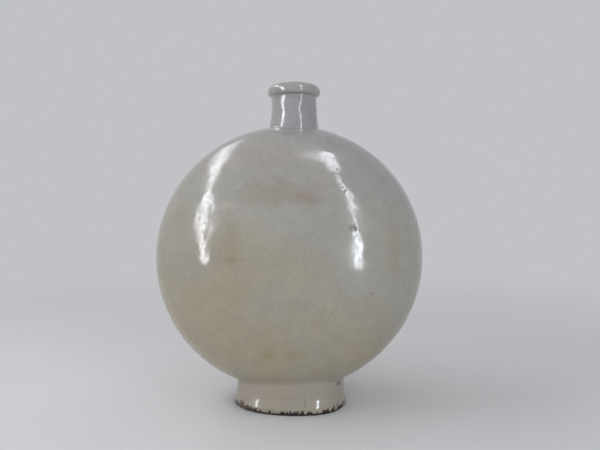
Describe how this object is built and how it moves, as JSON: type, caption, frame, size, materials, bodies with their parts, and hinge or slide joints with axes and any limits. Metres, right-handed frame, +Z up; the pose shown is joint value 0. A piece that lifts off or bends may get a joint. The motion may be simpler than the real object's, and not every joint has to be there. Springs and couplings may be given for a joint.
{
  "type": "flat bottle vase",
  "caption": "Flat round bottle vase in off-white glazed porcelain, standing on edge on an oval foot ring, with a short neck and a rolled lip.",
  "frame": {"origin": "middle of the foot ring's resting plane, on the table", "axes": "+Z up through the body, -Y out of the front face, +X to the right seen from the front"},
  "size_m": [0.2, 0.116, 0.24],
  "materials": {
    "white_glaze": "gloss",
    "foot_glaze": "gloss",
    "joining_slip": "matte"
  },
  "bodies": {
    "root": {"front_half_shell": "white_glaze", "back_half_shell": "white_glaze", "seam_slip": "joining_slip", "neck_with_lip": "white_glaze", "neck_joint_slip": "joining_slip", "foot_ring": "foot_glaze", "foot_joint_slip": "joining_slip"}
  },
  "joints": []
}
